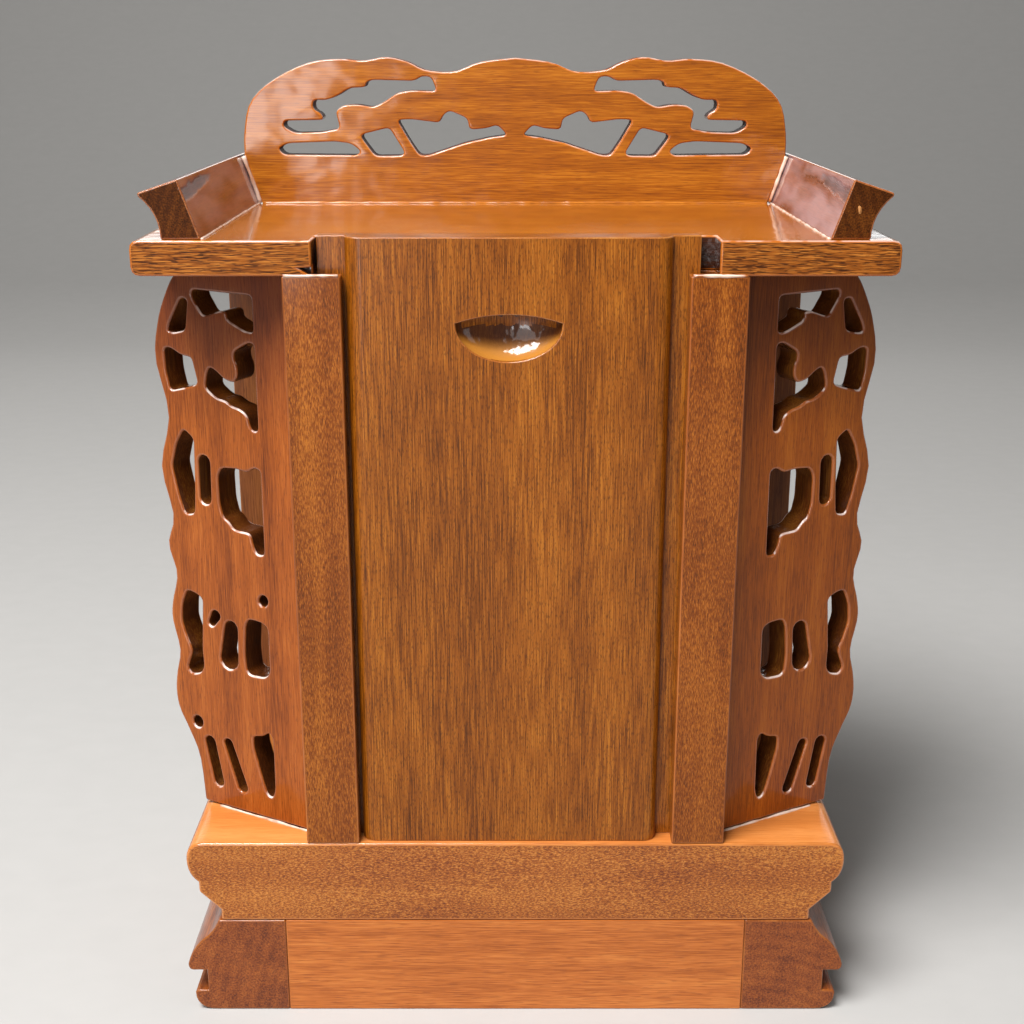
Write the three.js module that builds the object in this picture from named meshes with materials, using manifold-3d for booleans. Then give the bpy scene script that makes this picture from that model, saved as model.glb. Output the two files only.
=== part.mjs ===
// Household altar cabinet: a small lacquered cabinet on a stepped base, closed by a panel that lifts
// in grooves, with two pierced wings set back at an angle and a pierced crest board on its top.
// Millimetres, +X to the right, +Y to the back, +Z up. The origin is on the floor under the middle.

import * as THREE from 'three';
import { mergeVertices } from 'three/addons/utils/BufferGeometryUtils.js';
import Module from 'manifold-3d';

const wasm = await Module();
wasm.setup();

// Overall depth, and the levels of the tiers above the floor
const depth = 94;
const frontY = -depth / 2;
const backY = depth / 2;
const plinthTop = 27.8;
const baseTop = 51;
const slabUnderside = 200.2;
const slabTop = 208.5;
const boardThickness = 8;
const fittingGap = 0.3;

// Lower tier: a board between two moulded ends
const plinthSeam = 61.6;
const plinthTip = 88.6;
const plinthTipLevel = 14.2;
const plinthBelly = [87.4, 18.8];
const plinthWaist = [84.2, 21.8];
const plinthCove = [81.2, 23.9];
const plinthNeck = 79.6;
const footFlat = 81.5;
const footReach = 87.2;
const footHeight = 6;
const footArris = 0.6;
const undercutReach = 83.6;
const undercutTop = 12.3;
const lipRound = 1.4;

// Upper tier: one slab with moulded ends
const baseReach = 87.15;
const baseReachLevel = 46;
const baseTopReach = 82.2;
const baseNeck = 78.8;
const baseNeckLevel = 31;
const quirkReach = 84.3;
const quirkLevel = 36.4;
const quirkTop = 39.3;
const bulgeLevel = 41.4;

// Posts with a groove for the panel, and the wide board at the back of the box
const postInner = 41.1;
const postOuter = 54.9;
const postDepth = 16;
const grooveFront = 5.2;
const grooveBack = 10;
const grooveFloor = 47.7;
const backHalf = 83.7;

// Lift-up panel: a tongue with a raised field and a finger pull
const panelShift = -1.6;
const panelTop = 209.1;
const tongueHalf = 45.5;
const tongueFront = 5.5;
const tongueBack = 9.5;
const fieldHalf = 38.8;
const fieldFront = 1.2;
const fieldRound = 4.2;
const pullLevel = 188.8;
const pullHalf = 12.8;
const pullDrop = 9.2;
const pullRise = 2.1;
const pullDepth = 5.4;
const pullRings = 20;
const pullSectors = 36;

// Top slab with its notch for the panel, and the chip beside the notch
const slabHalf = 90;
const slabRound = 2.2;
const notchHalf = 47.7;
const notchDepth = 10.5;
const chipLength = 3.2;
const chipHeight = 2.2;
const chipTipHeight = 1.9;
const chipDepth = 3;

// Rails at the ends of the top slab
const railFront = 2;
const railInnerFoot = 73.5;
const railOuterFoot = 82.9;
const railTip = 87.6;
const railTipHeight = 10.7;
const railTipFlat = 0.8;
const railCove = 6.2;
const railInnerTop = 78.2;
const railHeight = 13.8;

// Crest board between the rails
const crestThickness = 8;
const crestHeight = 40;
const crestFoot = 72.5;
const crestShoulder = 77;
const crestShoulderHeight = 13.4;

// Wings: boards that run outwards and back from the posts
const wingAngle = THREE.MathUtils.degToRad(28.5);
const wingThickness = 7.5;
const wingStart = 55.3;
const wingSetback = 6.6;
const wingFoot = 35.2;
const wingHead = 30.8;

// Finish of each wood surface: sRGB colour and roughness
const finishes = {
  panel: { color: '#8f5a2b', roughness: 0.35 },
  post: { color: '#8a4f28', roughness: 0.4 },
  wing: { color: '#7d4526', roughness: 0.32 },
  base: { color: '#94562f', roughness: 0.42 },
  plinth: { color: '#b26a3a', roughness: 0.38 },
  moulding: { color: '#6f3c22', roughness: 0.4 },
  top: { color: '#b5692f', roughness: 0.22 },
  rail: { color: '#7a4630', roughness: 0.25 },
  carcass: { color: '#7c4a2a', roughness: 0.5 },
};

// Pierced openings of the crest, right half: distance from the middle and height above the slab
const crestOpenings = [
  // cloud gap that steps down and outwards
  [[22, 31], [23.6, 35], [26.5, 35], [28.3, 33.8], [40, 34.1], [41.8, 33.5], [42, 32.1],
    [46.5, 31.9], [50, 29.8], [53, 28.6], [56.9, 28.7], [57, 26.1], [54.7, 25], [54, 23.2],
    [65.2, 23], [65.6, 21.4], [62.5, 19.6], [55, 19.8], [49.5, 20.8], [50.7, 25.6], [48.4, 27.2],
    [44.5, 27.4], [40, 26.6], [37, 28], [33, 30.6], [29.5, 31.2]],
  // long low slot
  [[43.8, 14.6], [46.5, 16.7], [51, 17.3], [64.5, 16.8], [67.4, 15.4], [65.8, 13.6], [45, 13.4]],
  // gap between the two leaning stems
  [[35.6, 21.1], [43.2, 19.3], [43.6, 18.3], [39.8, 13.2], [32.4, 13.3], [31.3, 14.1]],
  // wide gap under the middle branch
  [[2.2, 19], [5, 21.9], [8, 20.9], [13, 20.5], [13.4, 23.6], [18.6, 25.8], [20.6, 24.2],
    [21.3, 22.4], [29.5, 23.4], [33.3, 23.2], [30, 17.5], [27.2, 13.4], [24.6, 13.4], [14, 16.9],
    [7, 18.4]],
];
const crestEase = 1.3;

// Pierced openings of a wing: distance from the post and height above the base
const wingOpenings = [
  [[10.1, 142.5], [28.6, 142.7], [28.9, 141], [26, 136.6], [24.6, 136.5], [20, 138.1],
    [18.2, 137.9], [18.1, 135.9], [12.5, 133.5], [10.1, 133.4]],
  [[30.3, 140], [32.4, 140.5], [36.6, 133.7], [37.4, 131.5], [35.8, 131.2], [31.6, 132.2]],
  [[30.2, 125.5], [33.5, 125.7], [37, 127.4], [39, 127], [38.8, 121], [37.7, 116.1], [32, 117.6],
    [28.6, 118.8]],
  [[10.1, 130.6], [12, 130.8], [16.5, 128.2], [16.6, 126.2], [15.7, 124.4], [15.7, 121.9],
    [17, 120.2], [20, 120.8], [22.5, 122.7], [24.4, 123.6], [25.5, 122], [26.3, 118], [22.8, 115.6],
    [20.2, 115.4], [18.2, 114.1], [15.3, 113.6], [13.3, 112], [12.7, 109.3], [11.7, 108.4],
    [10.2, 108.7]],
  [[31.2, 104.2], [34.3, 106.4], [37, 102.2], [38.9, 96], [37.3, 88.5], [35.6, 83.3], [32.4, 83.8],
    [31.8, 91]],
  [[10.1, 98.4], [12, 99], [14.3, 97.4], [18, 97.9], [22.7, 97.5], [24, 95], [23.9, 88], [23, 84.2],
    [21.5, 83.5], [19.8, 81.3], [14.5, 81.1], [13.5, 77.3], [12.7, 75.7], [10.3, 75.8]],
  [[31.7, 60.3], [34, 61.5], [36.8, 62], [38.8, 57.5], [39.3, 52.5], [37.8, 48], [36.2, 44.5],
    [37.4, 41.6], [38.4, 39.3], [37.2, 37.6], [33.9, 38.5], [32.7, 40.5], [32.9, 46]],
  [[10.4, 55.9], [12.2, 57], [16.5, 57.3], [17.7, 55.3], [18.4, 47], [18.1, 42.3], [17, 41.3],
    [12.2, 41.5], [10.5, 43.2]],
  [[10.6, 24.3], [11.7, 25.8], [13.7, 24.2], [17.2, 23.5], [17.2, 20], [14.7, 11], [13.4, 6.9],
    [11.7, 6.4], [10.8, 9]],
];
const wingEase = 1.2;

// Tapered slots of a wing: upper end and its radius, lower end and its radius
const wingSlots = [
  { upper: [28.2, 98.3], upperRadius: 1.9, lower: [28.4, 88.7], lowerRadius: 1.8 },
  { upper: [22.6, 53.5], upperRadius: 2.1, lower: [23.8, 44.4], lowerRadius: 2.9 },
  { upper: [25.9, 19.3], upperRadius: 1.4, lower: [21.8, 7.2], lowerRadius: 1.6 },
  { upper: [32.2, 18.4], upperRadius: 1.7, lower: [30, 7], lowerRadius: 1.6 },
];

// Small holes that only the left wing has
const leftWingSlots = [
  { upper: [11.3, 63.4], upperRadius: 1.4, lower: [11.5, 63], lowerRadius: 1.4 },
  { upper: [36, 23.8], upperRadius: 1.6, lower: [36.1, 23.4], lowerRadius: 1.6 },
  { upper: [27.6, 56.2], upperRadius: 1.5, lower: [29, 54], lowerRadius: 1.1 },
];

// Wavy outer edge of a wing, upwards, and the curved top of the crest's right half, inwards
const wingEdge = [
  [36.3, 13], [39.4, 20.6], [42.3, 26.3], [43.1, 31.5], [42.4, 37], [40.8, 44], [42.6, 52.5],
  [42.1, 58], [40, 66], [42.1, 74.2], [39.8, 82.3], [42.6, 95.5], [39, 109.6], [42.1, 124],
  [40.4, 134], [37.4, 141], [34.5, 145.6],
];
const crestEdge = [
  [76.7, 20], [74.6, 28], [68, 34], [58, 38.6], [49, 39.7], [42.5, 39.2], [36, 40.2], [30, 38.9],
  [25, 36.7], [17, 36.3], [10, 38.8],
];

// Steps of a tight curve and of a wide one, the share of an edge that an eased corner may take,
// and how far a cutting shape runs past the wood it cuts
const curveSteps = 3;
const roundSteps = 6;
const easeShare = 0.45;
const overshoot = 1;

const cabinet = new THREE.Group();

function addPiece(name, geometry, finish) {
  const material = new THREE.MeshStandardMaterial({ metalness: 0, ...finishes[finish] });
  const piece = new THREE.Mesh(geometry, material);
  piece.name = name;
  cabinet.add(piece);
  return piece;
}

// Joins and cuts
function solidOf(geometry) {
  const bare = geometry.clone();
  bare.deleteAttribute('normal');
  bare.deleteAttribute('uv');
  const merged = mergeVertices(bare);
  return new wasm.Manifold(new wasm.Mesh({
    numProp: 3,
    vertProperties: new Float32Array(merged.attributes.position.array),
    triVerts: new Uint32Array(merged.index.array),
  }));
}

function geometryOf(solid) {
  const mesh = solid.getMesh();
  const geometry = new THREE.BufferGeometry();
  geometry.setAttribute('position', new THREE.BufferAttribute(new Float32Array(mesh.vertProperties), 3));
  geometry.setIndex(new THREE.BufferAttribute(new Uint32Array(mesh.triVerts), 1));
  geometry.computeVertexNormals();
  return geometry;
}

function block(low, high) {
  const size = high.map((value, axis) => value - low[axis]);
  const middle = high.map((value, axis) => (value + low[axis]) / 2);
  return new THREE.BoxGeometry(...size).translate(...middle);
}

// Front outline in x and z, run through the depth from one y to another
function alongDepth(outline, fromY, toY, steps = curveSteps) {
  const settings = { depth: toY - fromY, bevelEnabled: false, curveSegments: steps };
  return new THREE.ExtrudeGeometry(outline, settings).rotateX(Math.PI / 2).translate(0, toY, 0);
}

// Plan outline in x and y, run upwards from one z to another
function alongHeight(outline, fromZ, toZ, steps = curveSteps) {
  const settings = { depth: toZ - fromZ, bevelEnabled: false, curveSegments: steps };
  return new THREE.ExtrudeGeometry(outline, settings).translate(0, 0, fromZ);
}

function polygon(points) {
  return new THREE.Shape(points.map(([x, y]) => new THREE.Vector2(x, y)));
}

function mirrored(points) {
  return points.map(([x, y]) => [-x, y]);
}

// Outline of a right-hand piece, turned over for the left side
function onSide(outline, side, steps = curveSteps) {
  const points = outline.getPoints(steps).map((point) => [point.x * side, point.y]);
  return polygon(side < 0 ? points.reverse() : points);
}

// Whole outline of a right half that starts and ends on the middle line
function bothHalves(half, steps = curveSteps) {
  const right = half.getPoints(steps).map((point) => [point.x, point.y]);
  const left = mirrored(right).reverse();
  return polygon([...right, ...left.filter(([x]) => x < 0)]);
}

// Closed outline through its corners, each corner eased over a given reach
function easedOutline(corners, reach) {
  const outline = new THREE.Shape();
  const points = corners.map(([x, y]) => new THREE.Vector2(x, y));
  const partWay = (from, to) => from.clone().lerp(to, Math.min(easeShare, reach / from.distanceTo(to)));
  points.forEach((corner, index) => {
    const before = partWay(corner, points.at(index - 1));
    const after = partWay(corner, points[(index + 1) % points.length]);
    if (index === 0) outline.moveTo(before.x, before.y);
    else outline.lineTo(before.x, before.y);
    outline.quadraticCurveTo(corner.x, corner.y, after.x, after.y);
  });
  return outline;
}

// Slot with a round end about each of two points
function taperedSlot({ upper, upperRadius, lower, lowerRadius }) {
  const lean = Math.atan2(upper[1] - lower[1], upper[0] - lower[0]);
  const outline = new THREE.Shape();
  outline.absarc(...upper, upperRadius, lean - Math.PI / 2, lean + Math.PI / 2);
  outline.absarc(...lower, lowerRadius, lean + Math.PI / 2, lean + Math.PI * 1.5);
  return outline;
}

// Lower tier
function plinthEnd(side) {
  const outline = new THREE.Shape();
  outline.moveTo(plinthSeam, 0);
  outline.lineTo(footFlat, 0);
  outline.quadraticCurveTo(footReach, 0, footReach, footHeight - footArris);
  outline.lineTo(footReach - footArris, footHeight);
  outline.lineTo(undercutReach, footHeight);
  outline.lineTo(undercutReach, undercutTop);
  outline.lineTo(plinthTip - lipRound, undercutTop);
  outline.quadraticCurveTo(plinthTip, undercutTop, plinthTip, plinthTipLevel);
  outline.quadraticCurveTo(...plinthBelly, ...plinthWaist);
  outline.quadraticCurveTo(...plinthCove, plinthNeck, plinthTop);
  outline.lineTo(plinthSeam, plinthTop);
  return alongDepth(onSide(outline, side, roundSteps), frontY, backY);
}

addPiece('plinth_board', block([-plinthSeam, frontY, 0], [plinthSeam, backY, plinthTop]), 'plinth');
addPiece('plinth_moulding_left', plinthEnd(-1), 'moulding');
addPiece('plinth_moulding_right', plinthEnd(1), 'moulding');

// Upper tier
function baseSlab() {
  const half = new THREE.Path();
  half.moveTo(0, plinthTop);
  half.lineTo(baseNeck, plinthTop);
  half.lineTo(baseNeck, baseNeckLevel);
  half.lineTo(quirkReach, quirkLevel);
  half.lineTo(quirkReach, quirkTop);
  half.quadraticCurveTo(baseReach, bulgeLevel, baseReach, baseReachLevel);
  half.quadraticCurveTo(baseReach, baseTop, baseTopReach, baseTop);
  half.lineTo(0, baseTop);
  return alongDepth(bothHalves(half, roundSteps), frontY, backY);
}

addPiece('base_slab', baseSlab(), 'base');

// Posts and the box behind them
function post(side) {
  const outline = polygon([
    [postInner, frontY],
    [postOuter, frontY],
    [postOuter, frontY + postDepth],
    [postInner, frontY + postDepth],
    [postInner, frontY + grooveBack],
    [grooveFloor, frontY + grooveBack],
    [grooveFloor, frontY + grooveFront],
    [postInner, frontY + grooveFront],
  ]);
  return alongHeight(onSide(outline, side), baseTop, slabUnderside);
}

function sideWall(side) {
  const near = side * (postOuter - boardThickness);
  const far = side * postOuter;
  const low = [Math.min(near, far), frontY + postDepth, baseTop];
  const high = [Math.max(near, far), backY - boardThickness, slabUnderside];
  return block(low, high);
}

addPiece('post_left', post(-1), 'post');
addPiece('post_right', post(1), 'post');
addPiece('side_wall_left', sideWall(-1), 'carcass');
addPiece('side_wall_right', sideWall(1), 'carcass');
addPiece(
  'back_board',
  block([-backHalf, backY - boardThickness, baseTop], [backHalf, backY, slabUnderside]),
  'carcass',
);

// Wings
function wing(side, extraSlots) {
  const height = slabUnderside - baseTop - 2 * fittingGap;
  const outline = new THREE.Shape();
  outline.moveTo(0, 0);
  outline.lineTo(wingFoot, 0);
  outline.splineThru([...wingEdge, [wingHead, height]].map(([x, y]) => new THREE.Vector2(x, y)));
  outline.lineTo(0, height);
  const openings = [
    ...wingOpenings.map((corners) => easedOutline(corners, wingEase)),
    ...[...wingSlots, ...extraSlots].map(taperedSlot),
  ];
  const pierced = onSide(outline, side);
  pierced.holes = openings.map((opening) => onSide(opening, side));
  const board = alongDepth(pierced, 0, wingThickness)
    .rotateZ(side * wingAngle)
    .translate(side * wingStart, frontY + wingSetback, baseTop + fittingGap);
  const postReach = postOuter + fittingGap;
  const betweenPosts = block([-postReach, frontY, 0], [postReach, backY, slabTop]);
  return geometryOf(solidOf(board).subtract(solidOf(betweenPosts)));
}

addPiece('wing_left', wing(-1, leftWingSlots), 'wing');
addPiece('wing_right', wing(1, []), 'wing');

// Top slab
function topSlab() {
  const half = new THREE.Path();
  half.moveTo(0, slabUnderside);
  half.lineTo(slabHalf - slabRound, slabUnderside);
  half.quadraticCurveTo(slabHalf, slabUnderside, slabHalf, slabUnderside + slabRound);
  half.lineTo(slabHalf, slabTop - slabRound);
  half.quadraticCurveTo(slabHalf, slabTop, slabHalf - slabRound, slabTop);
  half.lineTo(0, slabTop);
  const slab = alongDepth(bothHalves(half), frontY, backY);
  const notch = block(
    [-notchHalf, frontY - overshoot, slabUnderside - overshoot],
    [notchHalf, frontY + notchDepth, slabTop + overshoot],
  );
  const chipOutline = polygon([
    [-notchHalf + overshoot, slabUnderside],
    [-notchHalf + overshoot, slabUnderside + chipHeight],
    [-notchHalf - chipLength, slabUnderside + chipTipHeight],
    [-notchHalf, slabUnderside],
  ]);
  const chip = alongDepth(chipOutline, frontY - overshoot, frontY + chipDepth);
  return geometryOf(solidOf(slab).subtract(solidOf(notch)).subtract(solidOf(chip)));
}

addPiece('top_slab', topSlab(), 'top');

// Rails at the ends of the slab
function endRail(side) {
  const outline = new THREE.Shape();
  outline.moveTo(railInnerFoot, slabTop);
  outline.lineTo(railOuterFoot, slabTop);
  const tipTop = slabTop + railTipHeight;
  outline.quadraticCurveTo(railOuterFoot, slabTop + railCove, railTip, tipTop - railTipFlat);
  outline.lineTo(railTip, tipTop);
  outline.lineTo(railInnerTop, slabTop + railHeight);
  return alongDepth(onSide(outline, side, roundSteps), frontY + railFront, backY);
}

addPiece('end_rail_left', endRail(-1), 'rail');
addPiece('end_rail_right', endRail(1), 'rail');

// Crest board
function crestBoard() {
  const half = new THREE.Path();
  half.moveTo(0, 0);
  half.lineTo(crestFoot, 0);
  half.lineTo(crestShoulder, crestShoulderHeight);
  half.splineThru([...crestEdge, [0, crestHeight]].map(([x, y]) => new THREE.Vector2(x, y)));
  const outline = bothHalves(half);
  outline.holes = crestOpenings.flatMap((corners) => [
    easedOutline(corners, crestEase),
    easedOutline(mirrored(corners), crestEase),
  ]);
  return alongDepth(outline, backY - crestThickness, backY).translate(0, 0, slabTop);
}

addPiece('crest_board', crestBoard(), 'top');

// Lift-up panel
function fingerPull() {
  const middle = [0, frontY + fieldFront, pullLevel];
  const bowl = new THREE.SphereGeometry(1, pullSectors, pullRings).scale(pullHalf, pullDepth, pullDrop);
  const reach = pullHalf + overshoot;
  const drop = pullDrop + overshoot;
  const underArc = new THREE.Shape();
  underArc.moveTo(-reach, -drop);
  underArc.lineTo(reach, -drop);
  underArc.lineTo(reach, 0);
  underArc.lineTo(pullHalf, 0);
  underArc.quadraticCurveTo(0, pullRise * 2, -pullHalf, 0);
  underArc.lineTo(-reach, 0);
  const below = alongDepth(underArc, -pullDepth - overshoot, pullDepth + overshoot, 2 * roundSteps);
  return solidOf(bowl.translate(...middle)).intersect(solidOf(below.translate(...middle)));
}

function frontPanel() {
  const outline = new THREE.Shape();
  const fieldEdge = fieldHalf - fieldRound;
  outline.moveTo(-tongueHalf, frontY + tongueFront);
  outline.lineTo(-fieldHalf, frontY + tongueFront);
  outline.quadraticCurveTo(-fieldHalf, frontY + fieldFront, -fieldEdge, frontY + fieldFront);
  outline.lineTo(fieldEdge, frontY + fieldFront);
  outline.quadraticCurveTo(fieldHalf, frontY + fieldFront, fieldHalf, frontY + tongueFront);
  outline.lineTo(tongueHalf, frontY + tongueFront);
  outline.lineTo(tongueHalf, frontY + tongueBack);
  outline.lineTo(-tongueHalf, frontY + tongueBack);
  const panel = alongHeight(outline, baseTop, panelTop, roundSteps);
  return geometryOf(solidOf(panel).subtract(fingerPull())).translate(panelShift, 0, 0);
}

addPiece('front_panel', frontPanel(), 'panel');

export default cabinet;
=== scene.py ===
import math

import bmesh
import bpy
from mathutils import Matrix, Vector


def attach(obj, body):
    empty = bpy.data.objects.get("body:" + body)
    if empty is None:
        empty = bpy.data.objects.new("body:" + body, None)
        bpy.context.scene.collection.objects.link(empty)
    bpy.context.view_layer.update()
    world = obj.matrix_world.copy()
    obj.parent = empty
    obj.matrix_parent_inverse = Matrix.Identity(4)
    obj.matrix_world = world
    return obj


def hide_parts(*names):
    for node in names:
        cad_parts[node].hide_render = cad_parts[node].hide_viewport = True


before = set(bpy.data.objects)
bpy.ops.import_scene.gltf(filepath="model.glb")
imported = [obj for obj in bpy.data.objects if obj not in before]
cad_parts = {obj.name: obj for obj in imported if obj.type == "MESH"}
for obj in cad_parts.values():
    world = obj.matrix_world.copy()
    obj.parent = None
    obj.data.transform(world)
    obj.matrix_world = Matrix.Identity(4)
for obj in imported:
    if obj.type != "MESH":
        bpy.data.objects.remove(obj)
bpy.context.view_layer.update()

mm = 0.001
scene = bpy.context.scene
print("frame loaded:", len(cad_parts), "nodes")


def linear(hexColour):  # sRGB hex to a linear colour
    channels = [int(hexColour[at:at + 2], 16) / 255 for at in (1, 3, 5)]
    return tuple(c / 12.92 if c <= 0.04045 else ((c + 0.055) / 1.055) ** 2.4 for c in channels) + (1.0,)


def addNode(tree, kind, settings, links=None):  # a node with its settings and its links
    node = tree.nodes.new(kind)
    for key, value in settings.items():
        if isinstance(key, int) or key in node.inputs:
            node.inputs[key].default_value = value
        else:
            setattr(node, key, value)
    for key, source in (links or {}).items():
        tree.links.new(source, node.inputs[key])
    return node


# Camera at the place the photo was taken from

view = {"place": (-0.000873, -0.395190, 0.2515), "tilt": 17.3716, "focalPixels": 1488, "framePixels": 1024}
bpy.ops.object.select_all(action="DESELECT")
bpy.ops.object.camera_add(location=view["place"], rotation=(math.radians(90 - view["tilt"]), 0, 0))
camera = bpy.context.object
camera.data.sensor_width = 36
camera.data.lens = camera.data.sensor_width * view["focalPixels"] / view["framePixels"]
camera.data.clip_start = 0.01
scene.camera = camera
print("camera set")


# Lacquered wood: a clear glossy film over open pores, so the grain looks deep and wet and every
# rounded arris carries a bright line

softEdge = {"head": 30, "pore": 0.1, "lean": 0.2, "bloom": 0.25, "bead": 0.12}  # how far each mask fades; the painted shade's in mm, lean for the painted sheen and bead for the painted highlight


def lacqueredWood(name, look):
    material = bpy.data.materials.new(name)
    material.use_nodes = True
    tree = material.node_tree
    shader = tree.nodes["Principled BSDF"]
    along = "xyz".index(look["grain"])

    def pattern(source, width, length, detail, roughness=0.5):  # noise drawn out along the grain, sizes in mm
        spread = [1 / width] * 3
        spread[along] = 1 / length
        stretched = addNode(tree, "ShaderNodeVectorMath", {"operation": "MULTIPLY", 1: spread}, {0: source})
        return addNode(tree, "ShaderNodeTexNoise", {"Scale": 1, "Detail": detail, "Roughness": roughness},
                       {"Vector": stretched.outputs[0]})

    coordinates = addNode(tree, "ShaderNodeTexCoord", {})
    place = addNode(tree, "ShaderNodeMapping", {"Location": look["offset"], "Scale": (1000, 1000, 1000)},
                    {"Vector": coordinates.outputs["Object"]})  # from here on a unit is a millimetre
    leaning = addNode(tree, "ShaderNodeMapping", {"Rotation": (0, math.radians(look["poreTilt"]), 0)},
                      {"Vector": place.outputs[0]})
    bend = pattern(place.outputs[0], look["bendWidth"], look["bendWidth"] * 2.5, 2)
    bent = addNode(tree, "ShaderNodeVectorMath", {"operation": "MULTIPLY_ADD", 1: [look["bend"]] * 3},
                   {0: bend.outputs["Color"], 2: place.outputs[0]})
    rings = addNode(tree, "ShaderNodeTexWave",
                    {"wave_type": "RINGS", "rings_direction": look["grain"].upper(), "wave_profile": "SIN",
                     "Scale": 0.314 / look["ringSpacing"], "Distortion": 2.5, "Detail": 2, "Detail Scale": 0.6},
                    {"Vector": bent.outputs[0]})  # 0.314 is one ring of the wave at scale 1
    streaks = pattern(bent.outputs[0], look["streakWidth"], look["streakLength"], 3, 0.55)
    fibres = pattern(bent.outputs[0], look["fibreWidth"], look["fibreLength"], 2, 0.6)
    pores = pattern(leaning.outputs[0], look["poreWidth"], look["poreLength"], 1, 0.4)
    clouds = pattern(place.outputs[0], look["cloudSize"], look["cloudSize"] * look["cloudStretch"], 2)
    ripple = pattern(place.outputs[0], look["rippleSize"], look["rippleSize"] * 1.3, 1)
    beadNoise = pattern(place.outputs[0], 4, 4, 1)  # spots of painted highlight about 4 mm apart

    tone = None
    shares = ((streaks, "streakShare"), (rings, "ringShare"), (fibres, "fibreShare"), (clouds, "cloudShare"))
    for layer, share in shares:  # the grain's tone is the sum of its layers about one half
        centred = addNode(tree, "ShaderNodeMath", {"operation": "SUBTRACT", 1: 0.5}, {0: layer.outputs["Fac"]})
        weighed = addNode(tree, "ShaderNodeMath", {"operation": "MULTIPLY_ADD", 1: look[share], 2: 0.5},
                          {0: centred.outputs[0]})
        if tone:
            tree.links.new(tone.outputs[0], weighed.inputs[2])
        tone = weighed
    ramp = addNode(tree, "ShaderNodeValToRGB", {}, {"Fac": tone.outputs[0]})
    ramp.color_ramp.elements[0].position = 0.2
    ramp.color_ramp.elements[0].color = linear(look["dark"])
    ramp.color_ramp.elements[1].position = 0.8
    ramp.color_ramp.elements[1].color = linear(look["light"])
    middle = ramp.color_ramp.elements.new(0.5)
    middle.color = linear(look["mid"])
    height = addNode(tree, "ShaderNodeSeparateXYZ", {}, {"Vector": bent.outputs[0]})
    headMask = addNode(tree, "ShaderNodeMapRange", {"From Min": look["headFrom"],
                                                    "From Max": look["headFrom"] + softEdge["head"],
                                                    "To Max": look["headDepth"]}, {"Value": height.outputs["Z"]})
    headed = addNode(tree, "ShaderNodeMixRGB", {"Color2": linear(look["head"])},
                     {"Fac": headMask.outputs[0], "Color1": ramp.outputs[0]})  # painted shade toward the top, where the slab above shades the board
    poreMask = addNode(tree, "ShaderNodeMapRange", {"From Min": look["poreEdge"],
                                                    "From Max": look["poreEdge"] + softEdge["pore"],
                                                    "To Max": look["poreDepth"]}, {"Value": pores.outputs["Fac"]})
    pored = addNode(tree, "ShaderNodeMixRGB", {"Color2": linear(look["pore"])},
                    {"Fac": poreMask.outputs[0], "Color1": headed.outputs[0]})
    surface = addNode(tree, "ShaderNodeNewGeometry", {})
    upward = addNode(tree, "ShaderNodeSeparateXYZ", {}, {"Vector": surface.outputs["Normal"]})
    leaned = addNode(tree, "ShaderNodeMapRange",
                     {"From Min": look["bloomLean"], "From Max": look["bloomLean"] + softEdge["lean"],
                      "To Max": look["bloom"]}, {"Value": upward.outputs["Z"]})
    patches = addNode(tree, "ShaderNodeMapRange",
                      {"From Min": look["bloomFrom"], "From Max": look["bloomFrom"] + softEdge["bloom"]},
                      {"Value": clouds.outputs["Fac"]})
    bloomMask = addNode(tree, "ShaderNodeMath", {"operation": "MULTIPLY"},
                        {0: leaned.outputs[0], 1: patches.outputs[0]})  # painted sheen in cloudy spots on faces that look up
    hazed = addNode(tree, "ShaderNodeMixRGB", {"Color2": linear(look["haze"])},
                    {"Fac": bloomMask.outputs[0], "Color1": pored.outputs[0]})
    pooled = addNode(tree, "ShaderNodeMapRange", {"From Min": 0.3, "From Max": 0.6, "To Max": look["pool"]},
                     {"Value": upward.outputs["Z"]})  # painted highlight on the arrises that look up
    beads = addNode(tree, "ShaderNodeMapRange",
                    {"From Min": look["poolFrom"], "From Max": look["poolFrom"] + softEdge["bead"]},
                    {"Value": beadNoise.outputs["Fac"]})
    poolMask = addNode(tree, "ShaderNodeMath", {"operation": "MULTIPLY"},
                       {0: pooled.outputs[0], 1: beads.outputs[0]})
    colour = addNode(tree, "ShaderNodeMixRGB", {"Color2": linear(look["haze"])},
                     {"Fac": poolMask.outputs[0], "Color1": hazed.outputs[0]})
    tree.links.new(colour.outputs[0], shader.inputs["Base Color"])

    rough = addNode(tree, "ShaderNodeMapRange",
                    {"To Min": look["roughness"] - 0.08, "To Max": look["roughness"] + 0.08},
                    {"Value": clouds.outputs["Fac"]})
    tree.links.new(rough.outputs[0], shader.inputs["Roughness"])
    # the grain stands 0.1 mm deep and the film's ripple 0.4 mm, before their strengths
    relief = addNode(tree, "ShaderNodeMath", {"operation": "MULTIPLY_ADD", 1: -1.0},
                     {0: poreMask.outputs[0], 2: fibres.outputs["Fac"]})
    grainBump = addNode(tree, "ShaderNodeBump", {"Strength": look["grainBump"], "Distance": 0.1 * mm},
                        {"Height": relief.outputs[0]})
    filmBump = addNode(tree, "ShaderNodeBump", {"Strength": look["filmBump"], "Distance": 0.4 * mm},
                       {"Height": ripple.outputs["Fac"]})
    tree.links.new(grainBump.outputs[0], shader.inputs["Normal"])
    tree.links.new(filmBump.outputs[0], shader.inputs["Coat Normal"])
    shader.inputs["IOR"].default_value = 1.5
    shader.inputs["Specular IOR Level"].default_value = look["gloss"]
    shader.inputs["Coat Weight"].default_value = look["film"]
    shader.inputs["Coat Roughness"].default_value = look["filmRoughness"]
    shader.inputs["Coat IOR"].default_value = 1.5
    return material


# Sizes of the grain in millimetres: pores and fibres are about 0.1 mm across on the real wood and are drawn
# at 0.2 mm or more so that they show

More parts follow.
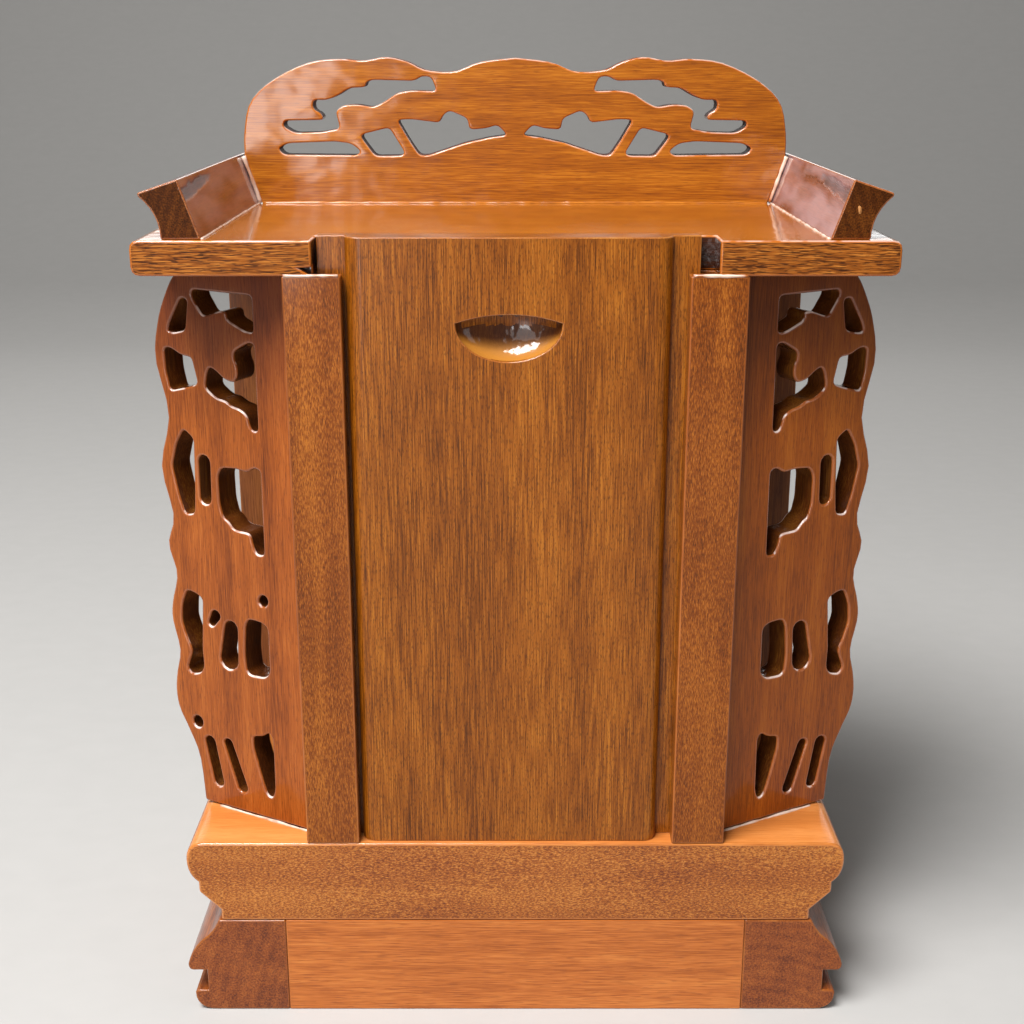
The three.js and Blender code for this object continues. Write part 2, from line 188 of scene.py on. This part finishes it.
grainSizes = {
    "grain": "z", "offset": (0, 0, 0), "bend": 2, "bendWidth": 40, "ringSpacing": 9, "ringShare": 0.1,
    "streakWidth": 7, "streakLength": 200, "streakShare": 0.45, "fibreWidth": 0.3, "fibreLength": 9,
    "fibreShare": 0.75, "poreWidth": 0.26, "poreLength": 4, "poreEdge": 0.6, "poreDepth": 0.6, "poreTilt": 0,
    "cloudSize": 26, "cloudStretch": 1.8, "cloudShare": 0.35, "rippleSize": 5, "roughness": 0.45,
    "grainBump": 0.3, "filmBump": 0.04, "gloss": 0.15, "film": 0.6, "filmRoughness": 0.12,
    "headFrom": 160, "headDepth": 0, "bloom": 0, "bloomFrom": 0.45, "bloomLean": 0.05, "pool": 0, "poolFrom": 0.38,
    "dark": "#6a2f08", "mid": "#9b5214", "light": "#bd6f26", "pore": "#4a1d05", "head": "#3e1c1c",
    "haze": "#ead8cf",
}


def woodLook(**changes):
    return {**grainSizes, **changes}


# The front and back of a pierced board are filled again between their outlines, which leaves no slivers

def refillFlats(made):
    depths = [vertex.co.y for vertex in made.data.vertices]
    for depth in (min(depths), max(depths)):
        bpy.ops.object.mode_set(mode="EDIT")
        bpy.ops.mesh.select_mode(type="FACE")
        bpy.ops.mesh.select_all(action="DESELECT")
        bpy.ops.object.mode_set(mode="OBJECT")
        for face in made.data.polygons:
            face.select = all(abs(made.data.vertices[at].co.y - depth) < 0.01 * mm for at in face.vertices)
        bpy.ops.object.mode_set(mode="EDIT")
        bpy.ops.mesh.delete(type="ONLY_FACE")
        bpy.ops.mesh.select_all(action="SELECT")
        bpy.ops.mesh.delete_loose(use_verts=True, use_edges=True, use_faces=False)
        bpy.ops.mesh.select_mode(type="EDGE")
        bpy.ops.mesh.select_all(action="DESELECT")
        bpy.ops.mesh.select_non_manifold(use_wire=False, use_multi_face=False, use_non_contiguous=False,
                                         use_verts=False)  # the outlines of the gap
        bpy.ops.mesh.fill(use_beauty=True)
        bpy.ops.mesh.select_all(action="SELECT")
        bpy.ops.mesh.normals_make_consistent(inside=False)
        bpy.ops.object.mode_set(mode="OBJECT")


# A piece stands for its CAD node: the same solid with eased arrises. In a piece's dictionary arris is the width of
# the worn edge in mm, arrisAngle the sharpest edge left alone and turn the board's turn, both in degrees, and
# materials are those of the faces, the arrises and the other faces

def easedPiece(node, piece):
    bpy.ops.object.select_all(action="DESELECT")
    made = bpy.data.objects.new(node + "_piece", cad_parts[node].data.copy())
    scene.collection.objects.link(made)
    bpy.context.view_layer.objects.active = made
    made.select_set(True)
    bpy.ops.mesh.customdata_custom_splitnormals_clear()
    turn = Matrix.Rotation(math.radians(piece.get("turn", 0)), 4, "Z")
    made.data.transform(turn.inverted())  # a turned board is squared up for the bevel, its faces dead flat
    for vertex in made.data.vertices:
        vertex.co = [round(at, 6) for at in vertex.co]
    bpy.ops.object.mode_set(mode="EDIT")
    bpy.ops.mesh.select_all(action="SELECT")
    bpy.ops.mesh.remove_doubles(threshold=0.01 * mm)
    bpy.ops.object.mode_set(mode="OBJECT")
    if piece.get("pierced"):
        refillFlats(made)
    bpy.ops.object.mode_set(mode="EDIT")
    bpy.ops.mesh.select_all(action="SELECT")
    bpy.ops.mesh.dissolve_limited(angle_limit=math.radians(0.5))
    bpy.ops.object.mode_set(mode="OBJECT")
    made.data.materials.clear()
    for material in piece["materials"]:
        made.data.materials.append(material)
    for face in made.data.polygons:
        face.material_index = 0
    for rule in piece.get("otherFaces", ()):  # faces told by the way they look and by where they are
        for face in made.data.polygons:
            lean = face.normal.dot(Vector(rule["toward"]))
            here = abs(face.center.x) < rule.get("within", 1) and face.center.z > rule.get("above", -1)
            if here and rule["low"] < lean < rule["high"]:
                face.material_index = rule["material"]
    work = bmesh.new()
    work.from_mesh(made.data)
    weight = work.edges.layers.float.new("bevel_weight_edge")
    for edge in work.edges:  # only edges that stand out are worn round
        edge[weight] = float(edge.is_manifold and edge.calc_face_angle_signed() > math.radians(piece["arrisAngle"]))
    work.to_mesh(made.data)
    work.free()
    arris = made.modifiers.new("easedArris", "BEVEL")
    arris.width = piece["arris"] * mm
    arris.segments = piece["arrisSteps"]
    arris.limit_method = "WEIGHT"
    arris.material = 1
    arris.loop_slide = False  # even width, whatever edges cross the flat faces
    arris.use_clamp_overlap = not piece.get("pierced")  # one tight corner would thin every arris of the board
    bpy.ops.object.modifier_apply(modifier=arris.name)
    if piece.get("pierced"):
        refillFlats(made)
    made.data.transform(turn)
    bpy.ops.object.shade_smooth_by_angle(angle=math.radians(42))
    flat = made.modifiers.new("flatFaces", "WEIGHTED_NORMAL")
    flat.keep_sharp = True
    bpy.ops.object.modifier_apply(modifier=flat.name)
    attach(made, piece["body"])
    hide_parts(node)
    return made


# Lower tier: a lighter board between two dark ends whose front shows the ends of the grain

# Planed cherry under clear lacquer: even orange wood with fine level lines
plinthWood = lacqueredWood("planed_cherry_clear_lacquer", woodLook(
    grain="x", dark="#964c12", mid="#ba6626", light="#d07e38", pore="#7c3c10", streakWidth=3.5, streakLength=70,
    streakShare=0.25, fibreWidth=0.24, fibreShare=1.2, poreDepth=0.45, cloudShare=0.4, ringShare=0.07,
    ringSpacing=5, offset=(0, 30, 12)))
# Rubbed arris of the same board: a thin paler line
plinthArris = lacqueredWood("rubbed_cherry_arris", woodLook(
    grain="x", dark="#8c4812", mid="#b06026", light="#c87a38", poreDepth=0.2))
plinthBoard = {"body": "cabinet", "slot": "plinth", "materials": [plinthWood, plinthArris], "arris": 0.35,
               "arrisSteps": 2, "arrisAngle": 40}
easedPiece("plinth_board", plinthBoard)

# Moulded walnut with its end grain to the front: darker, since end grain drinks the lacquer, with faint rings
mouldingWood = lacqueredWood("moulded_walnut_end_grain", woodLook(
    grain="y", dark="#582406", mid="#884212", light="#a25a20", pore="#4a1e06", ringSpacing=3.4, ringShare=0.1,
    offset=(-66, 0, 30), streakWidth=5, streakShare=0.6, fibreWidth=0.5, fibreShare=1.2, poreWidth=0.4,
    poreDepth=0.5, poreEdge=0.54))
# Rubbed arris: lighter where the stain has gone
mouldingArris = lacqueredWood("rubbed_walnut_end_arris", woodLook(
    grain="y", dark="#6a300c", mid="#8c4a1a", light="#b06c30", poreDepth=0.2))
plinthMoulding = {"body": "cabinet", "slot": "moulding", "materials": [mouldingWood, mouldingArris], "arris": 0.5,
                  "arrisSteps": 3, "arrisAngle": 40}
for side in ("left", "right"):
    easedPiece("plinth_moulding_" + side, plinthMoulding)
print("lower tier made")


# Upper tier: pores cut across on the front, a smoother face on top

# Sawn walnut, lightly filled: short dark pores and golden specks between them
baseWood = lacqueredWood("sawn_walnut_open_pores", woodLook(
    grain="x", dark="#6c3009", mid="#a2581a", light="#c88036", pore="#602a0a", streakWidth=2.6, streakLength=40,
    streakShare=0.15, poreWidth=0.28, poreLength=0.6, poreEdge=0.52, poreTilt=24, poreDepth=0.55, fibreWidth=0.3,
    fibreLength=0.8, fibreShare=1.6, grainBump=0.6))
# Rubbed arris under full lacquer: one bright line along the top of the tier
baseArris = lacqueredWood("rubbed_walnut_base_arris", woodLook(
    grain="x", dark="#8e4a16", mid="#b4682a", light="#d88c46", poreDepth=0.2, filmRoughness=0.1, film=1.0))
# Planed walnut top, painted paler orange as lit from above, with a soft shine
baseTop = lacqueredWood("planed_walnut_pale_face", woodLook(
    grain="x", dark="#b0642a", mid="#cc7c3a", light="#e09654", pore="#a2561e", fibreShare=0.5, poreDepth=0.3,
    filmRoughness=0.2))
baseSlab = {"body": "cabinet", "slot": "base", "materials": [baseWood, baseArris, baseTop], "arris": 0.7,
            "arrisSteps": 3, "arrisAngle": 40,
            "otherFaces": [{"toward": (0, 0, 1), "low": 0.7, "high": 1.1, "material": 2}]}
easedPiece("base_slab", baseSlab)
print("upper tier made")


# Posts, with coarse pores, and the plainer boards of the box behind them

# Sawn walnut under thin lacquer: a speckle of short pores that breaks up the shine
postWood = lacqueredWood("sawn_walnut_thin_lacquer", woodLook(
    dark="#542806", mid="#82400a", light="#ae661e", pore="#4a2006", poreWidth=0.24, poreLength=0.8, poreEdge=0.54,
    poreDepth=0.35, fibreWidth=0.21, fibreLength=1.2, fibreShare=1.3, streakWidth=3, streakLength=90,
    streakShare=0.35, grainBump=0.6, film=0.4, gloss=0.1))
# Rubbed arris: a lighter line that catches the lamp
postArris = lacqueredWood("rubbed_walnut_post_arris", woodLook(
    dark="#703608", mid="#96501a", light="#b87030", poreDepth=0.2))
post = {"body": "cabinet", "slot": "post", "materials": [postWood, postArris], "arris": 0.45, "arrisSteps": 3,
        "arrisAngle": 40}
# Planed walnut under one satin coat: dull and brown, with the long grain showing
boxWood = lacqueredWood("planed_walnut_satin_lacquer", woodLook(
    dark="#4c260a", mid="#7a4218", light="#985c2a", film=0.3, filmRoughness=0.3, roughness=0.5))
boxArris = lacqueredWood("rubbed_walnut_box_arris", woodLook(  # a little paler than the board
    dark="#603410", mid="#885026", light="#a26a38", film=0.3))
boxBoard = {"body": "cabinet", "slot": "carcass", "materials": [boxWood, boxArris], "arris": 0.4, "arrisSteps": 2,
            "arrisAngle": 40}
for side in ("left", "right"):
    easedPiece("post_" + side, post)
    easedPiece("side_wall_" + side, boxBoard)
easedPiece("back_board", boxBoard)
print("posts and box made")


# Wings: pierced boards turned back from the posts, with glossy sawn walls

# Planed walnut: streaked along the board, with painted shade toward the top under the slab, redder in the left wing
wingGrain = {"pore": "#4a1c05", "poreDepth": 0.4, "poreLength": 2, "streakWidth": 5, "fibreWidth": 0.24,
             "fibreShare": 0.85, "film": 0.4, "gloss": 0.1, "headDepth": 0.6}
redWingWood = lacqueredWood("planed_red_walnut_lacquer", woodLook(
    dark="#592606", mid="#944a14", light="#b26426", **wingGrain))
brownWingWood = lacqueredWood("planed_brown_walnut_lacquer", woodLook(
    dark="#562606", mid="#904608", light="#ae6016", head="#38190a", **wingGrain))
# Rubbed arris: painted highlights in pale spots along the lower lip of each opening, and painted shade toward the top
wingArris = lacqueredWood("rubbed_red_walnut_arris", woodLook(
    dark="#7a3c12", mid="#9c5220", light="#b86c34", poreDepth=0.2, film=1.0, pool=0.8, headDepth=0.55))
# Scroll-sawn walls, flooded with lacquer: dark and wet, rippled across by the blade
wingWall = lacqueredWood("scroll_sawn_walnut_wall", woodLook(
    dark="#281004", mid="#54290b", light="#80521a", rippleSize=1.6, filmBump=0.5, film=1.0, filmRoughness=0.1))
wing = {"body": "cabinet", "slot": "wing", "arris": 0.6, "arrisSteps": 3, "arrisAngle": 50, "turn": 28.5,
        "pierced": True, "otherFaces": [{"toward": (0, 1, 0), "low": -0.5, "high": 0.5, "material": 2}]}
for side, sign, wingWood in (("left", -1, redWingWood), ("right", 1, brownWingWood)):
    easedPiece("wing_" + side, {**wing, "turn": wing["turn"] * sign, "materials": [wingWood, wingArris, wingWall]})
print("wings made")


# Top: slab, rails and pierced crest, the glossiest pieces; the fronts of slab and rails are open-pored

# Planed cherry under many coats: deep orange with a mirror-like shine, broken into soft patches on the crest
topGrain = {"grain": "x", "dark": "#7a3d07", "mid": "#9c560a", "light": "#b87019", "pore": "#683207",
            "streakWidth": 4, "streakLength": 120, "streakShare": 0.55, "fibreShare": 1.1, "poreDepth": 0.5}
topWood = lacqueredWood("planed_cherry_thick_lacquer", woodLook(
    film=1.0, filmRoughness=0.08, filmBump=0.16, rippleSize=8, **topGrain))
crestWood = lacqueredWood("planed_cherry_wavy_lacquer", woodLook(
    film=0.9, filmRoughness=0.14, filmBump=0.6, rippleSize=7, **topGrain))
# Rubbed arris, lacquered over: a bright line with a few spots of painted highlight
topArris = lacqueredWood("rubbed_cherry_thick_lacquer", woodLook(
    grain="x", dark="#904812", mid="#ac5c16", light="#c47a2c", poreDepth=0.1, film=1.0, filmRoughness=0.08,
    pool=0.35))
# Scroll-sawn walls of the crest: dark red-brown and almost dull
topWall = lacqueredWood("scroll_sawn_cherry_wall", woodLook(
    grain="x", dark="#2c0f04", mid="#4e1e0a", light="#743614", rippleSize=1.6, filmBump=0.4, film=0.05, gloss=0.05,
    roughness=0.6))
# Chopped walls of the notch and the face behind the panel: painted nearly black as shade, under wet lacquer
notchWall = lacqueredWood("chopped_cherry_wall", woodLook(
    grain="x", dark="#1c0a03", mid="#381706", light="#562a0c", rippleSize=1.4, filmBump=0.6, film=1.0))
# Sawn edge with little lacquer: close dark and golden lines, hardly any shine
slabFront = lacqueredWood("sawn_cherry_open_pores", woodLook(
    grain="x", dark="#4e2408", mid="#904e16", light="#bc7630", pore="#381805", poreWidth=0.22, poreLength=2.5,
    poreEdge=0.54, poreDepth=0.85, fibreWidth=0.2, fibreLength=6, fibreShare=1.8, streakWidth=0.7, streakLength=30,
    streakShare=0.1, cloudShare=0.08, ringShare=0.03, bend=0.5, bendWidth=12, grainBump=0.8, film=0.08, gloss=0.08,
    filmRoughness=0.35, roughness=0.55))
topSlab = {"body": "cabinet", "slot": "top", "materials": [topWood, topArris, slabFront, notchWall], "arris": 0.5,
           "arrisSteps": 3, "arrisAngle": 40, "otherFaces": [
               {"toward": (0, -1, 0), "low": 0.7, "high": 1.1, "material": 2},
               {"toward": (0, -1, 0), "low": 0.7, "high": 1.1, "within": 0.05, "material": 3},
               {"toward": (1, 0, 0), "low": 0.3, "high": 1.1, "within": 0.06, "material": 3},
               {"toward": (-1, 0, 0), "low": 0.3, "high": 1.1, "within": 0.06, "material": 3}]}
easedPiece("top_slab", topSlab)
crestBoard = {"body": "cabinet", "slot": "top", "materials": [crestWood, topArris, topWall], "arris": 0.5,
              "arrisSteps": 3, "arrisAngle": 50, "pierced": True,
              "otherFaces": [{"toward": (0, 1, 0), "low": -0.5, "high": 0.5, "material": 2}]}
easedPiece("crest_board", crestBoard)

# Moulded walnut under many coats: dark red and wet; the inner face carries a whitish painted reflection in cloudy
# spots
railGrain = {"grain": "y", "dark": "#4a2012", "mid": "#743c28", "light": "#90523c", "pore": "#341608",
             "offset": (0, 0, -190), "ringSpacing": 3, "cloudSize": 8, "cloudStretch": 4, "film": 1.0,
             "filmRoughness": 0.06, "filmBump": 0.2, "rippleSize": 6}
railWood = lacqueredWood("moulded_walnut_thick_lacquer", woodLook(**railGrain))
railFace = lacqueredWood("moulded_walnut_milky_lacquer", woodLook(
    bloom=0.5, bloomFrom=0.34, haze="#c6adb4", **railGrain))
railArris = lacqueredWood("rubbed_walnut_rail_arris", woodLook(  # a warm bright line
    grain="y", dark="#643010", mid="#925024", light="#c07e48", film=1.0))
# Sawn end grain with hardly any lacquer: dull and dark, faintly ringed
railEnd = lacqueredWood("sawn_walnut_end_grain", woodLook(
    grain="y", dark="#2c1303", mid="#4a2307", light="#6c3b10", pore="#221002", offset=(0, 0, -190),
    ringSpacing=2.4, ringShare=0.12, poreWidth=0.3, poreEdge=0.54, film=0.05, gloss=0.06, filmRoughness=0.4,
    fibreWidth=0.4, fibreShare=0.9))
endRail = {"body": "cabinet", "slot": "rail", "materials": [railWood, railArris, railEnd, railFace], "arris": 0.5,
           "arrisSteps": 3, "arrisAngle": 40, "otherFaces": [
               {"toward": (0, -1, 0), "low": 0.7, "high": 1.1, "material": 2},
               {"toward": (0, 0, 1), "low": 0.1, "high": 0.6, "material": 3}]}
for side in ("left", "right"):
    easedPiece("end_rail_" + side, endRail)
print("top made")


# Beads of lacquer where two boards meet, and a chip in the end of one rail

# Pooled lacquer set in a joint: amber, with painted sheen in cloudy spots all over and a painted highlight on top
beadLacquer = lacqueredWood("pooled_amber_lacquer", woodLook(
    dark="#8a4614", mid="#b06426", light="#d08e52", poreDepth=0, film=1.0, filmRoughness=0.05, filmBump=0.2,
    rippleSize=2, bloom=0.65, bloomFrom=0.3, bloomLean=-1, cloudSize=5, pool=0.5, haze="#ecdacb"))
# Broken walnut with no lacquer: pale and dry
bareWood = lacqueredWood("broken_walnut_bare", woodLook(
    dark="#8a5428", mid="#ac7440", light="#c89862", film=0.1, filmRoughness=0.4, roughness=0.6))
lumps = bpy.data.textures.new("lumps", "CLOUDS")
lumps.noise_scale = 3 * mm


def lacquerBead(name, bead):  # a thin lumpy rod, its ends and radius in mm
    start, end = Vector(bead["start"]) * mm, Vector(bead["end"]) * mm
    along = end - start
    bpy.ops.object.select_all(action="DESELECT")
    bpy.ops.mesh.primitive_cylinder_add(vertices=10, radius=bead["radius"] * mm, depth=along.length,
                                        location=(start + end) / 2, rotation=along.to_track_quat("Z", "Y").to_euler())
    made = bpy.context.object
    made.name = name
    bpy.ops.object.transform_apply(location=True, rotation=True, scale=True)
    bpy.ops.object.mode_set(mode="EDIT")
    bpy.ops.mesh.select_mode(type="EDGE")
    bpy.ops.mesh.select_all(action="DESELECT")
    bpy.ops.object.mode_set(mode="OBJECT")
    for edge in made.data.edges:  # only the long edges are cut
        ends = [made.data.vertices[at].co for at in edge.vertices]
        edge.select = (ends[1] - ends[0]).length > along.length * 0.9
    bpy.ops.object.mode_set(mode="EDIT")
    bpy.ops.mesh.subdivide(number_cuts=min(100, int(along.length / mm)))  # about a ring for each millimetre
    bpy.ops.object.mode_set(mode="OBJECT")
    made.data.materials.append(bead["material"])
    uneven = made.modifiers.new("uneven", "DISPLACE")
    uneven.texture = lumps
    uneven.texture_coords = "GLOBAL"
    uneven.strength = bead["radius"] * 1.2 * mm
    bpy.ops.object.modifier_apply(modifier=uneven.name)
    bpy.ops.object.shade_smooth()
    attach(made, "cabinet")


for side, sign in (("left", -1), ("right", 1)):
    wingBead = {"start": (55.3 * sign, -40.6, 51.0), "end": (81.5 * sign, -26.4, 51.0), "radius": 0.4,
                "material": beadLacquer, "slot": "wing"}
    lacquerBead("wing_bead_" + side, wingBead)
    footBead = {"start": (73.3 * sign, -44.6, 208.5), "end": (73.3 * sign, 38.6, 208.5), "radius": 0.4,
                "material": beadLacquer, "slot": "rail"}
    lacquerBead("rail_foot_bead_" + side, footBead)
    cornerBead = {"start": (73.0 * sign, 38.9, 208.8), "end": (77.2 * sign, 38.9, 221.6), "radius": 0.6,
                  "material": beadLacquer, "slot": "rail"}
    lacquerBead("crest_corner_bead_" + side, cornerBead)
    postBead = {"start": (41.6 * sign, -46.8, 200.3), "end": (54.4 * sign, -46.8, 200.3), "radius": 0.4,
                "material": beadLacquer, "slot": "post"}
    lacquerBead("post_head_bead_" + side, postBead)
crestBead = {"start": (-72.4, 38.9, 208.5), "end": (72.4, 38.9, 208.5), "radius": 0.6, "material": topWood,
             "slot": "top"}
lacquerBead("crest_foot_bead", crestBead)

railChip = {"place": (79.8, -44.9, 215.0), "size": (0.5, 0.25, 1.5), "lean": -12, "ragged": 1.0}  # mm, degrees
bpy.ops.object.select_all(action="DESELECT")
bpy.ops.mesh.primitive_ico_sphere_add(subdivisions=4, radius=mm, location=Vector(railChip["place"]) * mm,
                                      scale=railChip["size"], rotation=(0, math.radians(railChip["lean"]), 0))
chip = bpy.context.object
chip.name = "rail_chip"
bpy.ops.object.transform_apply(location=True, rotation=True, scale=True)
ragged = chip.modifiers.new("ragged", "DISPLACE")
ragged.texture = lumps
ragged.texture_coords = "GLOBAL"
ragged.strength = railChip["ragged"] * mm
bpy.ops.object.modifier_apply(modifier=ragged.name)
chip.data.materials.append(bareWood)
bpy.ops.object.shade_smooth()
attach(chip, "cabinet")
print("beads and chip made")


# Lift-up panel

# Planed walnut under satin lacquer: close upright lines and soft golden bands
panelWood = lacqueredWood("planed_golden_walnut_lacquer", woodLook(
    dark="#4e2503", mid="#8a4909", light="#b06a1c", pore="#3e1e04", streakWidth=9, streakLength=300,
    streakShare=0.36, fibreWidth=0.2, fibreLength=11, fibreShare=1.4, poreWidth=0.22, poreLength=1.2, poreEdge=0.55,
    poreDepth=0.5, bend=0.8, cloudShare=0.15, film=0.4, gloss=0.1, filmRoughness=0.22, offset=(13, 0, 0)))
# Rubbed arris: a golden line round the panel and on the lip of the pull
panelArris = lacqueredWood("rubbed_golden_walnut_arris", woodLook(
    dark="#74390a", mid="#9c5a20", light="#c08440", poreDepth=0.2, film=1.0, filmRoughness=0.08))
# Gouged walnut under wet lacquer: painted dark as shade in the recess, with painted golden light on the faces that
# look up
pullWood = lacqueredWood("gouged_walnut_pooled_lacquer", woodLook(
    dark="#341606", mid="#562c0e", light="#704218", poreDepth=0.5, film=1.0, filmRoughness=0.12, filmBump=0.8,
    rippleSize=2.6, pool=0.75, poolFrom=0, haze="#c07e30"))
frontPanel = {"body": "panel", "slot": "panel", "materials": [panelWood, panelArris, pullWood], "arris": 0.45,
              "arrisSteps": 3, "arrisAngle": 45, "otherFaces": [
                  # the faces of the pull's bowl take the painted shade and light
                  {"toward": (0, 0, 1), "low": 0.08, "high": 0.97, "material": 2},
                  {"toward": (0, 0, 1), "low": -1.1, "high": -0.08, "above": 0.1, "material": 2}]}
easedPiece("front_panel", frontPanel)
print("panel made")


# Plain studio: a pale floor that rises behind, and soft lights

stageSizes = {"halfWidth": 2.5, "front": -2.0, "back": 1.6, "height": 2.2, "bend": 0.7}  # metres
bpy.ops.object.select_all(action="DESELECT")
bpy.ops.mesh.primitive_plane_add(size=1)
floor = bpy.context.object
floor.name = "floor"
for corner in floor.data.vertices:
    corner.co.x *= 2 * stageSizes["halfWidth"]
    corner.co.y = stageSizes["back"] if corner.co.y > 0 else stageSizes["front"]
bpy.ops.object.mode_set(mode="EDIT")
bpy.ops.mesh.select_all(action="DESELECT")
bpy.ops.object.mode_set(mode="OBJECT")
for edge in floor.data.edges:
    edge.select = all(floor.data.vertices[v].co.y > 0 for v in edge.vertices)
bpy.ops.object.mode_set(mode="EDIT")
bpy.ops.mesh.select_mode(type="EDGE")
bpy.ops.mesh.extrude_region_move(TRANSFORM_OT_translate={"value": (0, 0, stageSizes["height"])})
bpy.ops.object.mode_set(mode="OBJECT")
curve = floor.modifiers.new("rise", "BEVEL")
curve.width = stageSizes["bend"]
curve.segments = 24
bpy.ops.object.modifier_apply(modifier=curve.name)
bpy.ops.object.shade_smooth()
matte = bpy.data.materials.new("matte_painted_board")  # even and pale, with no gloss
matte.use_nodes = True
paint = matte.node_tree
grit = addNode(paint, "ShaderNodeTexNoise", {"Scale": 400.0, "Detail": 2})  # grit of about 2.5 mm
shade = addNode(paint, "ShaderNodeMixRGB", {"Color1": linear("#b0aeab"), "Color2": linear("#b5b3b0")},
                {"Fac": grit.outputs["Fac"]})
paint.links.new(shade.outputs[0], paint.nodes["Principled BSDF"].inputs["Base Color"])
paint.nodes["Principled BSDF"].inputs["Roughness"].default_value = 0.9
floor.data.materials.append(matte)

lamps = {  # places and sizes in metres, power in watts
    "overhead": {"place": (-0.36, -0.44, 1.1), "aim": (0, 0, 0.12), "size": (0.6, 0.5), "power": 26},
    "front": {"place": (-0.5, -1.5, 0.75), "aim": (0, 0, 0.12), "size": (1.0, 0.7), "power": 4},
    "lowLeft": {"place": (-0.36, -1.36, 0.18), "aim": (0, 0, 0.2), "size": (0.25, 0.35), "power": 2.4},
    "right": {"place": (0.9, -0.5, 0.6), "aim": (0, 0, 0.15), "size": (0.4, 0.6), "power": 0.9},
    "behind": {"place": (0, 1.0, 0.43), "aim": (0, 0, 0.2), "size": (1.4, 0.2), "power": 1.6},
}
for name, lamp in lamps.items():
    bpy.ops.object.select_all(action="DESELECT")
    bpy.ops.object.light_add(type="AREA", location=lamp["place"])
    light = bpy.context.object
    light.name = name
    light.rotation_euler = (Vector(lamp["aim"]) - Vector(lamp["place"])).to_track_quat("-Z", "Y").to_euler()
    light.data.shape = "RECTANGLE"
    light.data.size, light.data.size_y = lamp["size"]
    light.data.energy = lamp["power"]
    light.visible_camera = False

world = bpy.data.worlds.new("studio")
world.use_nodes = True
world.node_tree.nodes["Background"].inputs["Color"].default_value = linear("#d8d6d2")
world.node_tree.nodes["Background"].inputs["Strength"].default_value = 0.12
scene.world = world
scene.view_settings.view_transform = "Standard"
print("studio set")
